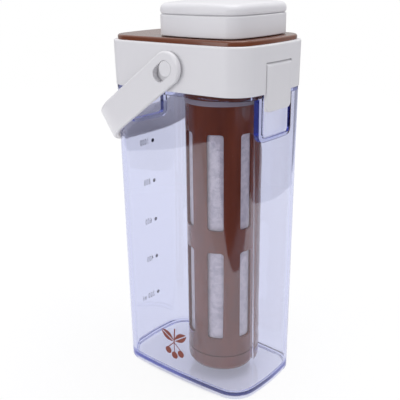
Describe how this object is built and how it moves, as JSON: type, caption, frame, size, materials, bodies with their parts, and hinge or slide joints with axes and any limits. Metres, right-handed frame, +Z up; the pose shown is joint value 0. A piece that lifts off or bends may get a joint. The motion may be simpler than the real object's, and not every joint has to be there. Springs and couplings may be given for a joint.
{
  "type": "cold brew coffee maker",
  "caption": "Clear rounded rectangular jug with a latched lid, a twist-off cap, a swing carrying handle and a hanging mesh filter tube with a twist-off base.",
  "frame": {"origin": "middle of the jug's underside, on the surface that it stands on", "axes": "+Z up, +X along the long side towards the end that the mouth is nearer to, the handle hangs at -X, +Y across"},
  "size_m": [0.1221, 0.0842, 0.2506],
  "materials": {
    "clear_copolyester": "clear, glossy, moulded",
    "white_abs": "satin, moulded",
    "brown_abs": "glossy, moulded",
    "brown_copolyester": "tinted, slightly see-through, glossy",
    "nylon_mesh": "fine woven mesh",
    "silicone": "matt, moulded",
    "screw_steel": "bright"
  },
  "bodies": {
    "jug": {"jug_body": "clear_copolyester"},
    "lid": {"collar": "white_abs", "top_plate": "brown_abs", "plate_screws": "screw_steel", "lid_liner": "white_abs", "liner_screws": "screw_steel", "liner_seal": "silicone", "rim_gasket": "silicone", "pour_neck": "brown_abs", "neck_gasket": "silicone", "latch_pin_left": "screw_steel", "latch_pin_right": "screw_steel"},
    "bail": {"bail_handle": "white_abs"},
    "left_latch": {"latch_left": "white_abs"},
    "right_latch": {"latch_right": "white_abs"},
    "cap_seal": {"cap_gasket": "silicone"},
    "cap": {"cap_skirt": "white_abs", "cap_cover": "white_abs"},
    "filter": {"filter_cage": "brown_copolyester", "filter_mesh": "nylon_mesh", "filter_gasket": "silicone"},
    "filter_foot": {"filter_base": "brown_copolyester", "base_seal": "silicone"}
  },
  "joints": [
    {"name": "lid_lift", "type": "slide", "parent": "jug", "child": "lid", "axis": [0, 0, 1], "range_m": [0, 0.215]},
    {"name": "bail_swing", "type": "hinge", "parent": "lid", "child": "bail", "pos_m": [0.0024, 0, 0.21302], "axis": [0, 1, 0], "range_deg": [0, 250]},
    {"name": "left_latch_flip", "type": "hinge", "parent": "lid", "child": "left_latch", "pos_m": [-0.05195, 0, 0.21432], "axis": [0, 1, 0], "range_deg": [0, 70]},
    {"name": "right_latch_flip", "type": "hinge", "parent": "lid", "child": "right_latch", "pos_m": [0.05195, 0, 0.21432], "axis": [0, -1, 0], "range_deg": [0, 70]},
    {"name": "cap_rise", "type": "slide", "parent": "lid", "child": "cap_seal", "axis": [0, 0, 1], "range_m": [0, 0.002]},
    {"name": "cap_turn", "type": "hinge", "parent": "cap_seal", "child": "cap", "pos_m": [0.0137, 0, 0.24], "axis": [0, 0, 1], "range_deg": [0, 60]},
    {"name": "filter_turn", "type": "hinge", "parent": "lid", "child": "filter", "pos_m": [0.0137, 0, 0.19], "axis": [0, 0, 1], "range_deg": [0, 45]},
    {"name": "base_turn", "type": "hinge", "parent": "filter", "child": "filter_foot", "pos_m": [0.0137, 0, 0.021], "axis": [0, 0, 1], "range_deg": [0, 45]}
  ],
  "couplings": [
    {"joint": "cap_turn", "follows": "cap_rise", "rad_per_m": 523.6}
  ]
}
